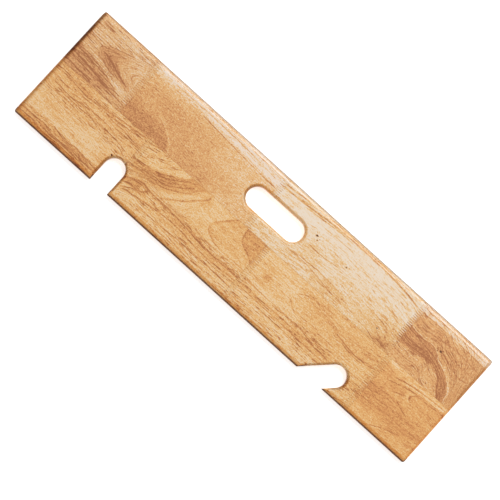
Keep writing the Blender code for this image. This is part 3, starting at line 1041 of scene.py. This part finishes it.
def grain_group():
    """Rings, vessel lines, streaks, fibres and pores, all drawn out along the grain.

    Across the grain the pattern follows the growth rings, so that vessel lines and streaks run
    with the figure.  Each ring darkens slowly and ends sharply, and rings differ in strength.
    """
    inputs = [("Vector", "vector"), ("Rings", "value"), ("Wander", "value")]
    outputs = [("Late Wood", "value"), ("Vessels", "value"), ("Streak", "value"), ("Fibre", "value"),
               ("Pores", "value")]
    tree, given, finish = group("wood_grain", inputs, outputs)
    plain = node(tree, "ShaderNodeSeparateXYZ", {0: given["Vector"]}).outputs
    across = maths(tree, 'MULTIPLY', given["Rings"], 0.004)
    depth = maths(tree, 'MULTIPLY_ADD', plain["Y"], 0.15, plain["Z"])
    grain = node(tree, "ShaderNodeCombineXYZ", {0: plain["X"], 1: across, 2: depth}).outputs[0]

    swing = centred(tree, noise(tree, given["Vector"], (11.0, 60.0, 60.0), 4.0, 0.6))
    place = maths(tree, 'MULTIPLY_ADD', swing, given["Wander"], given["Rings"])
    part = maths(tree, 'FRACT', place)
    climb = ramp(tree, part, 0.20, 0.88)
    drop = ramp(tree, part, 0.88, 1.0, 1.0, 0.0)
    number = maths(tree, 'FLOOR', place)
    chance = node(tree, "ShaderNodeTexWhiteNoise", {"W": number}, noise_dimensions='1D').outputs["Value"]
    patchy = ramp(tree, noise(tree, grain, (18.0, 60.0, 60.0), 2.0), 0.35, 0.62, 0.25, 1.0)
    strength = maths(tree, 'MULTIPLY', ramp(tree, chance, 0.1, 0.9, 0.10, 1.0), patchy)
    late = maths(tree, 'MULTIPLY', maths(tree, 'MULTIPLY', climb, drop), strength)

    crowd = ramp(tree, noise(tree, grain, (12.0, 90.0, 90.0), 2.0), 0.40, 0.60, 0.04, -0.03)
    vessel = maths(tree, 'ADD', noise(tree, grain, (62.0, 560.0, 560.0), 3.0, 0.6), crowd)
    vessels = ramp(tree, vessel, 0.55, 0.64)
    streak = centred(tree, noise(tree, grain, (12.0, 240.0, 240.0), 4.0, 0.6))
    fibre = centred(tree, noise(tree, grain, (150.0, 700.0, 700.0), 2.0, 0.6))
    pore = noise(tree, grain, (150.0, 1100.0, 1100.0), 2.0, 0.5)
    pores = ramp(tree, pore, 0.61, 0.68)
    return finish({"Late Wood": late, "Vessels": vessels, "Streak": streak, "Fibre": fibre,
                   "Pores": pores})


def mottle_group():
    """Clouds, blotches and sandy ray flecks that don't follow the grain."""
    outputs = [("Cloud", "value"), ("Blotch", "value"), ("Fleck", "value"), ("Grit", "value")]
    tree, given, finish = group("wood_mottle", [("Vector", "vector")], outputs)
    cloud = centred(tree, noise(tree, given["Vector"], (9.0, 22.0, 22.0), 3.0, 0.5))
    blotch = centred(tree, noise(tree, given["Vector"], (55.0, 95.0, 95.0), 3.0, 0.6))
    fleck = centred(tree, noise(tree, given["Vector"], (260.0, 420.0, 420.0), 3.0, 0.7))
    grit = centred(tree, noise(tree, given["Vector"], (430.0, 560.0, 560.0), 1.0, 0.6))
    return finish({"Cloud": cloud, "Blotch": blotch, "Fleck": fleck, "Grit": grit})


def vein_group():
    """Dark veins, the hearts of tiny knots and the glue lines, from a point's distance to them."""
    inputs = [("Vector", "vector"), ("Vein", "value"), ("Depth", "value"), ("Seam", "value")]
    outputs = [("Vein", "value"), ("Knot", "value"), ("Seam", "value")]
    tree, given, finish = group("veins_and_seams", inputs, outputs)
    rough = noise(tree, given["Vector"], (60.0, 500.0, 500.0), 3.0, 0.6)
    width = ramp(tree, rough, 0.30, 0.70, 0.7, 1.7)
    line = ramp(tree, maths(tree, 'DIVIDE', given["Vein"], width), 0.35, VEIN_RIM, 1.0, 0.0)
    broken = ramp(tree, noise(tree, given["Vector"], (22.0, 90.0, 90.0), 2.0), 0.36, 0.56, 0.6, 1.0)
    vein = maths(tree, 'MULTIPLY', maths(tree, 'MULTIPLY', line, given["Depth"]), broken)
    seam = ramp(tree, given["Seam"], 0.05, 0.22, 1.0, 0.0)
    return finish({"Vein": vein, "Knot": ramp(tree, vein, 1.1, 2.0), "Seam": seam})


def lacquer_group():
    """Satin lacquer that sinks a little into pores and rings and thins on the darkened edges, which carry
    end grain and painted shade.
    """
    inputs = [("Vector", "vector"), ("Fibre", "value"), ("Pores", "value"), ("Late Wood", "value"),
              ("Seam", "value"), ("DarkShadeAndEndGrain", "value")]
    outputs = [("Coat", "value"), ("Roughness", "value"), ("Height", "value")]
    tree, given, finish = group("satin_lacquer", inputs, outputs)
    haze = noise(tree, given["Vector"], (18.0, 18.0, 18.0), 3.0)
    rough = weighted(tree, ramp(tree, haze, 0.3, 0.7, 0.36, 0.48), [(given["Pores"], 0.15)])
    orange_peel = noise(tree, given["Vector"], (260.0, 260.0, 260.0), 2.0)
    height = weighted(tree, 0.0, [(given["Fibre"], 0.20), (orange_peel, 0.30), (given["Late Wood"], 0.35),
                                  (given["Pores"], -1.0), (given["Seam"], -0.8)])
    coat = ramp(tree, weighted(tree, given["DarkShadeAndEndGrain"], [(given["Pores"], 0.15)]), 0.0, 0.9, 0.60, 0.04)
    return finish({"Coat": coat, "Roughness": rough, "Height": height})


def end_grain_and_shade_group():
    """Brown roundovers and nearly black end grain and edges, laid over a colour: darker grain with painted
    shade.
    """
    inputs = [("Colour", "colour"), ("Vector", "vector"), ("Edge", "value"), ("DarkShadeAndEndGrain", "value"),
              ("BrownGrainAndShade", "colour"), ("DarkGrainAndShade", "colour")]
    tree, given, finish = group("end_grain_and_painted_shade", inputs, [("Colour", "colour")])
    uneven = ramp(tree, noise(tree, given["Vector"], (70.0, 70.0, 70.0), 3.0), 0.35, 0.65, 0.88, 1.0)
    brown = blend(tree, 1.0, given["Colour"], given["BrownGrainAndShade"], 'MULTIPLY')
    colour = blend(tree, maths(tree, 'MULTIPLY', given["Edge"], uneven), given["Colour"], brown)
    dark = blend(tree, 1.0, colour, given["DarkGrainAndShade"], 'MULTIPLY')
    return finish({"Colour": blend(tree, maths(tree, 'MULTIPLY', given["DarkShadeAndEndGrain"], uneven), colour, dark)})


GROUP_MAKERS = {
    "wood_grain": grain_group,
    "wood_mottle": mottle_group,
    "veins_and_seams": vein_group,
    "satin_lacquer": lacquer_group,
    "end_grain_and_painted_shade": end_grain_and_shade_group,
}


def effect(tree, name, inputs):
    """Place one of the effect groups, built the first time it is asked for."""
    made = bpy.data.node_groups.get(name) or GROUP_MAKERS[name]()
    return node(tree, "ShaderNodeGroup", inputs, node_tree=made).outputs


# ---------------------------------------------------------------------------------------------
# Wood of each block.  Tones run from 0, the darkest vein, to 1, the palest sapwood.

# Base and sapwood are tones.  Wander is how far the rings stray, in rings, and tint is what the
# colour is multiplied by.  The other numbers are how much each kind of mark changes the tone.
Wood = namedtuple(
    "Wood", "base sapwood heartwood rings wander vessels streak mottle flecks grit pores tint")
WOODS = {
    UPPER[0]: Wood(0.450, 0.56, 0.20, 0.25, 0.9, 0.35, 0.17, 0.07, 0.08, 0.30, 0.15, (0.96, 1.00, 1.17)),
    UPPER[1]: Wood(0.455, 0.72, 0.21, 0.10, 1.2, 0.17, 0.07, 0.10, 0.15, 0.32, 0.12, (0.98, 1.00, 1.09)),
    UPPER[2]: Wood(0.555, 0.68, 0.27, 0.15, 1.1, 0.20, 0.12, 0.09, 0.09, 0.27, 0.13, (0.97, 1.00, 1.05)),
    UPPER[3]: Wood(0.462, 0.68, 0.22, 0.25, 0.8, 0.32, 0.13, 0.07, 0.08, 0.31, 0.17, (0.99, 1.00, 1.08)),
    LOWER[0]: Wood(0.478, 0.54, 0.16, 0.25, 1.3, 0.36, 0.18, 0.06, 0.08, 0.30, 0.17, (1.00, 1.00, 1.01)),
    LOWER[1]: Wood(0.490, 0.55, 0.21, 0.25, 0.9, 0.32, 0.16, 0.08, 0.10, 0.30, 0.16, (1.00, 1.00, 0.98)),
    LOWER[2]: Wood(0.488, 0.56, 0.17, 0.26, 1.1, 0.32, 0.15, 0.09, 0.10, 0.30, 0.16, (1.00, 1.00, 0.98)),
    LOWER[3]: Wood(0.384, 0.57, 0.12, 0.16, 1.1, 0.18, 0.10, 0.12, 0.13, 0.26, 0.11, (1.02, 1.00, 0.97)),
}


def stored(tree, name):
    """Value kept on the piece's points."""
    return node(tree, "ShaderNodeAttribute", attribute_name=name).outputs["Fac"]


def tint(colour):
    """Colour with full alpha."""
    return (*colour, 1.0)


def palette(tree, tone, colours):
    """Colour of a tone, along the shared scale from vein to sapwood."""
    item = node(tree, "ShaderNodeValToRGB", {"Fac": tone})
    scale = (("vein", 0.08), ("heartwood", 0.25), ("russet", 0.33), ("honey", 0.43), ("straw", 0.52),
             ("sapwood", 0.65))
    elements = item.color_ramp.elements
    while len(elements) < len(scale):
        elements.new(0.5)
    for element, (key, place) in zip(elements, scale):
        element.position = place
        element.color = tint(getattr(colours, key))
    return item.outputs["Color"]


FIBRE = 0.20                # how much a fibre changes the tone
BLOTCH_SHARE = 0.6          # blotches beside clouds, which are the block's mottle
ABOVE_SAPWOOD = 0.03        # how far specks may rise over the sapwood's tone
CEILING_BEND = 0.08         # how softly they are held back there
GLUE_STRENGTH = 0.60        # how strongly a glue line shows
WOOD_SHIFT = 0.7            # metres between the samples of fine grain that two blocks take


def block_material(name, colours):
    """Lacquered wood of one block."""
    wood = WOODS[name]
    material = bpy.data.materials.new(f"{name}_wood")
    material.use_nodes = True
    tree = material.node_tree
    shader = tree.nodes["Principled BSDF"]
    place = node(tree, "ShaderNodeTexCoord").outputs["Object"]
    shift = (WOOD_SHIFT * list(WOODS).index(name), 0.0, 0.0)
    vector = node(tree, "ShaderNodeVectorMath", {0: place, 1: shift}, operation='ADD').outputs[0]

    grain = effect(tree, "wood_grain", {
        "Vector": vector, "Rings": stored(tree, "rings"), "Wander": wood.wander})
    mottle = effect(tree, "wood_mottle", {"Vector": vector})
    lines = effect(tree, "veins_and_seams", {
        "Vector": vector, "Vein": stored(tree, "vein"), "Depth": stored(tree, "vein_depth"),
        "Seam": stored(tree, "seam")})
    lacquer = effect(tree, "satin_lacquer", {
        "Vector": vector, "Fibre": grain["Fibre"], "Pores": grain["Pores"],
        "Late Wood": grain["Late Wood"], "Seam": lines["Seam"], "DarkShadeAndEndGrain": stored(tree, "dark_shade_and_end_grain")})

    lively = maths(tree, 'SUBTRACT', 1.0, stored(tree, "calm"))
    tone = weighted(tree, stored(tree, "tone"), [
        (maths(tree, 'MULTIPLY', grain["Late Wood"], lively), -wood.rings),
        (maths(tree, 'MULTIPLY', grain["Vessels"], lively), -wood.vessels),
        (grain["Streak"], wood.streak), (grain["Fibre"], FIBRE), (grain["Pores"], -wood.pores),
        (mottle["Cloud"], wood.mottle), (mottle["Blotch"], BLOTCH_SHARE * wood.mottle),
        (mottle["Fleck"], wood.flecks), (mottle["Grit"], wood.grit), (lines["Vein"], -VEIN_DEPTH)])
    tone = maths(tree, 'SMOOTH_MIN', tone, wood.sapwood + ABOVE_SAPWOOD, CEILING_BEND)
    colour = palette(tree, tone, colours)
    colour = blend(tree, 1.0, colour, tint(wood.tint), 'MULTIPLY')
    colour = blend(tree, lines["Knot"], colour, tint(colours.knot))
    # Edges get darker end grain and painted shade where they turn from the light.
    colour = effect(tree, "end_grain_and_painted_shade", {
        "Colour": colour, "Vector": vector, "Edge": stored(tree, "edge"), "DarkShadeAndEndGrain": stored(tree, "dark_shade_and_end_grain"),
        "BrownGrainAndShade": tint(colours.brown_edge_grain_and_shade), "DarkGrainAndShade": tint(colours.dark_edge_grain_and_shade)})["Colour"]
    seam = maths(tree, 'MULTIPLY', lines["Seam"], GLUE_STRENGTH)
    relief = {"Height": lacquer["Height"], "Strength": 0.35, "Distance": 0.12 * MM}
    feed(tree, shader, {
        "Base Color": blend(tree, seam, colour, tint(colours.glue)),
        "Roughness": lacquer["Roughness"],
        "Coat Weight": lacquer["Coat"],
        "Coat Roughness": 0.26,
        "Specular IOR Level": 0.08,
        "Normal": node(tree, "ShaderNodeBump", relief).outputs["Normal"],
    })
    return material


# ---------------------------------------------------------------------------------------------
# Settings a user would change.

def length_setting(name, default, description):
    """A length in metres."""
    return bpy.props.FloatProperty(name=name, description=description, default=default, min=0,
                                   precision=4, subtype='DISTANCE', unit='LENGTH')


def angle_setting(name, degrees, description):
    """An angle, given in degrees."""
    return bpy.props.FloatProperty(name=name, description=description, default=math.radians(degrees),
                                   subtype='ANGLE', unit='ROTATION')


def colour_setting(name, default, description):
    """A linear colour."""
    return bpy.props.FloatVectorProperty(name=name, description=description, default=default,
                                         size=3, min=0, max=1, subtype='COLOR')


class BoardSizes(bpy.types.PropertyGroup):
    """Sizes of the board's cuts, joints and roundovers, and how fine its mesh is."""

    slot_length: length_setting("Slot length", 105 * MM, "Hand slot, end to end")
    slot_width: length_setting("Slot width", 35 * MM, "Hand slot, side to side")
    notch_width: length_setting("Notch width", 34 * MM, "Both notches, side to side")
    square_notch_length: length_setting("Square notch depth", 51.5 * MM, "From the edge to its round end")
    slanted_notch_lean: angle_setting("Slanted notch lean", 45, "Its angle to the board's width")
    edge_flat: length_setting("Edge flat", 2 * MM, "Flat left between the roundovers of a long edge")
    end_round: length_setting("End roundover", 5 * MM, "Roundover radius of the short ends")
    corner_round: length_setting("Corner radius", 3 * MM, "Radius of the board's four corners in plan")
    opening_round: length_setting("Opening roundover", 5 * MM, "Roundover radius of slot and notches")
    finger_length: length_setting("Finger length", 9 * MM, "Length of a finger in the joints")
    finger_pitch: length_setting("Finger pitch", 3.2 * MM, "Wanted distance between fingers")
    finger_tip: length_setting("Finger tip", 0.6 * MM, "Flat at a finger's tip")
    finger_to_notch: length_setting("Finger to notch", 1 * MM, "Wood left between a finger and a notch")
    finger_zone: length_setting("Finger zone", 16 * MM, "Stretch of mesh that bends with the fingers")
    glue_film: length_setting("Glue film", 0.03 * MM, "Gap between neighbouring blocks")
    mesh_step: length_setting("Mesh step", 1.4 * MM, "Distance between points along the board")
    arc_steps: bpy.props.IntProperty(
        name="Arc steps", description="Steps in a roundover's quarter circle", default=10, min=3)
    smooth_angle: angle_setting("Smooth angle", 30, "Faces that meet at less are shaded as one")


class BoardColours(bpy.types.PropertyGroup):
    """Colours that the wood of all blocks shares."""

    knot: colour_setting("Knot", (0.085, 0.030, 0.010), "Hearts of tiny knots")
    vein: colour_setting("Vein", (0.405, 0.145, 0.045), "Darkest veins")
    heartwood: colour_setting("Heartwood", (0.650, 0.285, 0.098), "Reddish brown heartwood")
    russet: colour_setting("Russet", (0.728, 0.363, 0.122), "Between heartwood and plain wood")
    honey: colour_setting("Honey", (0.793, 0.457, 0.170), "Plain wood")
    straw: colour_setting("Straw", (0.828, 0.555, 0.277), "Between plain wood and sapwood")
    sapwood: colour_setting("Sapwood", (0.843, 0.685, 0.520), "Palest sapwood")
    # The two edge colours below darken end grain and paint shade on edges that turn from the light.
    brown_edge_grain_and_shade: colour_setting("Browned edge", (0.92, 0.68, 0.42), "What browned roundovers multiply by")
    dark_edge_grain_and_shade: colour_setting("Burnt edge", (0.13, 0.08, 0.09), "What the darkest edges multiply by")
    glue: colour_setting("Glue", (0.30, 0.135, 0.055), "Glue lines")
    floor: colour_setting("Floor", (0.90, 0.90, 0.89), "Studio floor")


class StudioSettings(bpy.types.PropertyGroup):
    """Camera and lights."""

    camera_distance: length_setting("Camera distance", 3.0, "From the camera to the board")
    camera_tilt: angle_setting("Camera tilt", 4, "How far it leans from straight above towards -Y")
    camera_roll: angle_setting("Camera roll", 42.1, "How far the board's +X end drops in the view")
    camera_lens: bpy.props.FloatProperty(
        name="Camera lens", description="Focal length", default=146.8, subtype='DISTANCE_CAMERA')
    aim: bpy.props.FloatVectorProperty(
        name="Aim", description="Point the camera looks at", default=(0.0088, -0.0186, 0.009),
        size=3, subtype='XYZ', unit='LENGTH')
    key_power: bpy.props.FloatProperty(
        name="Key light", description="Power of the softbox on the +Y side", default=64.0, unit='POWER')
    key_height: angle_setting("Key height", 58, "Angle of the key light above the floor")
    key_distance: length_setting("Key distance", 3.2, "From the key light to the board")
    key_size: length_setting("Key size", 1.8, "Side of the key light")
    sky: bpy.props.FloatProperty(
        name="Sky", description="Even light from all around", default=0.50, min=0)
    floor_glow: bpy.props.FloatProperty(
        name="Floor glow", description="Light that the floor gives off itself", default=0.68, min=0)


# ---------------------------------------------------------------------------------------------
# Operators.

def add_stave(names, scene):
    """Build the four blocks of a stave."""
    for name in names:
        add_block(name, scene.board_sizes, scene.board_colours)


class TRANSFERBOARD_OT_upper_stave(bpy.types.Operator):
    """Build the four blocks of the stave with the hand slot"""

    bl_idname = "transferboard.upper_stave"
    bl_label = "Upper Stave"

    def execute(self, context):
        add_stave(UPPER, context.scene)
        return {'FINISHED'}


class TRANSFERBOARD_OT_lower_stave(bpy.types.Operator):
    """Build the four blocks of the stave with the two notches"""

    bl_idname = "transferboard.lower_stave"
    bl_label = "Lower Stave"

    def execute(self, context):
        add_stave(LOWER, context.scene)
        return {'FINISHED'}


def add_key_light(studio):
    """Square softbox on the +Y side, turned a little towards +X, that faces the board."""
    lamp = bpy.data.lights.new("key_softbox", 'AREA')
    lamp.energy = studio.key_power
    lamp.shape = 'SQUARE'
    lamp.size = studio.key_size
    item = add_object("key_softbox", lamp)
    flat = math.cos(studio.key_height)
    turned = 0.15
    way = Vector((turned * flat, flat, math.sin(studio.key_height))).normalized()
    item.location = way * studio.key_distance
    item.rotation_euler = (-way).to_track_quat('-Z', 'Y').to_euler()


class TRANSFERBOARD_OT_stage(bpy.types.Operator):
    """Lay the floor, hang the lights and place the camera"""

    bl_idname = "transferboard.stage"
    bl_label = "Studio"

    def execute(self, context):
        studio = context.scene.board_studio
        add_floor(context.scene.board_colours, studio)
        add_key_light(studio)
        add_sky(studio)
        add_camera(studio)
        context.scene.view_settings.view_transform = 'Standard'
        return {'FINISHED'}


def add_floor(colours, studio):
    """Pale matt floor just under the board; it glows faintly, which keeps shadows soft.

    Seen from below it is clear, so that it doesn't hide the board's underside.
    """
    height = LOW_CORNER.z - FLOOR_GAP
    corners = np.array([(across * FLOOR_HALF, along * FLOOR_HALF, height)
                        for across, along in ((-1, -1), (1, -1), (1, 1), (-1, 1))])
    floor = add_object("studio_floor", mesh_from("studio_floor", corners, np.array([[0, 1, 2, 3]])))
    material = bpy.data.materials.new("studio_floor_paint")
    material.use_nodes = True
    tree = material.node_tree
    shader = tree.nodes["Principled BSDF"]
    feed(tree, shader, {
        "Base Color": tint(colours.floor),
        "Roughness": 0.8,
        "Specular IOR Level": 0.2,
        "Emission Color": tint(colours.floor),
        "Emission Strength": studio.floor_glow,
    })
    clear = node(tree, "ShaderNodeBsdfTransparent").outputs[0]
    behind = node(tree, "ShaderNodeNewGeometry").outputs["Backfacing"]
    sides = node(tree, "ShaderNodeMixShader", {0: behind, 1: shader.outputs[0], 2: clear}).outputs[0]
    tree.links.new(sides, tree.nodes["Material Output"].inputs["Surface"])
    floor.data.materials.append(material)


def add_sky(studio):
    """Even pale light from all around; seen directly it is as white as the floor."""
    world = bpy.data.worlds.new("studio_sky")
    world.use_nodes = True
    tree = world.node_tree
    background = tree.nodes["Background"]
    white = (1, 1, 1, 1)
    feed(tree, background, {"Color": white, "Strength": studio.sky})
    seen = node(tree, "ShaderNodeBackground", {"Color": white, "Strength": 1.0}).outputs[0]
    direct = node(tree, "ShaderNodeLightPath").outputs["Is Camera Ray"]
    sky = node(tree, "ShaderNodeMixShader", {0: direct, 1: background.outputs[0], 2: seen}).outputs[0]
    tree.links.new(sky, tree.nodes["World Output"].inputs["Surface"])
    bpy.context.scene.world = world


def add_camera(studio):
    """Camera that looks almost straight down, rolled so that the board lies across the view."""
    lens = bpy.data.cameras.new("camera")
    lens.type = 'PERSP'
    lens.lens = studio.camera_lens
    lens.sensor_width = 36.0
    item = add_object("camera", lens)
    back = Vector((0, -math.tan(studio.camera_tilt), 1)).normalized()
    rolled_up = Vector((-math.sin(studio.camera_roll), math.cos(studio.camera_roll), 0))
    right = rolled_up.cross(back).normalized()
    up = back.cross(right)
    turn = Matrix((right, up, back)).transposed().to_4x4()
    item.matrix_world = Matrix.Translation(Vector(studio.aim) + back * studio.camera_distance) @ turn
    bpy.context.scene.camera = item


class TRANSFERBOARD_PT_panel(bpy.types.Panel):
    """Sizes, colours and build buttons in the 3D view's sidebar"""

    bl_label = "Transfer Board"
    bl_space_type = 'VIEW_3D'
    bl_region_type = 'UI'
    bl_category = "Transfer Board"

    def draw(self, context):
        layout = self.layout
        for group_name in SETTINGS:
            settings = getattr(context.scene, group_name)
            box = layout.box()
            for key in settings.__annotations__:
                box.prop(settings, key)
        for operator in OPERATORS:
            layout.operator(operator.bl_idname)


OPERATORS = (TRANSFERBOARD_OT_upper_stave, TRANSFERBOARD_OT_lower_stave, TRANSFERBOARD_OT_stage)
CLASSES = (BoardSizes, BoardColours, StudioSettings, *OPERATORS, TRANSFERBOARD_PT_panel)
SETTINGS = {"board_sizes": BoardSizes, "board_colours": BoardColours, "board_studio": StudioSettings}


def register():
    """Make the settings, operators and panel known to Blender."""
    for item in CLASSES:
        bpy.utils.register_class(item)
    for key, kind in SETTINGS.items():
        setattr(bpy.types.Scene, key, bpy.props.PointerProperty(type=kind))


def unregister():
    """Take them away again."""
    for key in SETTINGS:
        delattr(bpy.types.Scene, key)
    for item in reversed(CLASSES):
        bpy.utils.unregister_class(item)


def main():
    """Build the board and its studio."""
    register()
    bpy.ops.transferboard.upper_stave()
    bpy.ops.transferboard.lower_stave()
    bpy.ops.transferboard.stage()


if __name__ == "__main__":
    main()
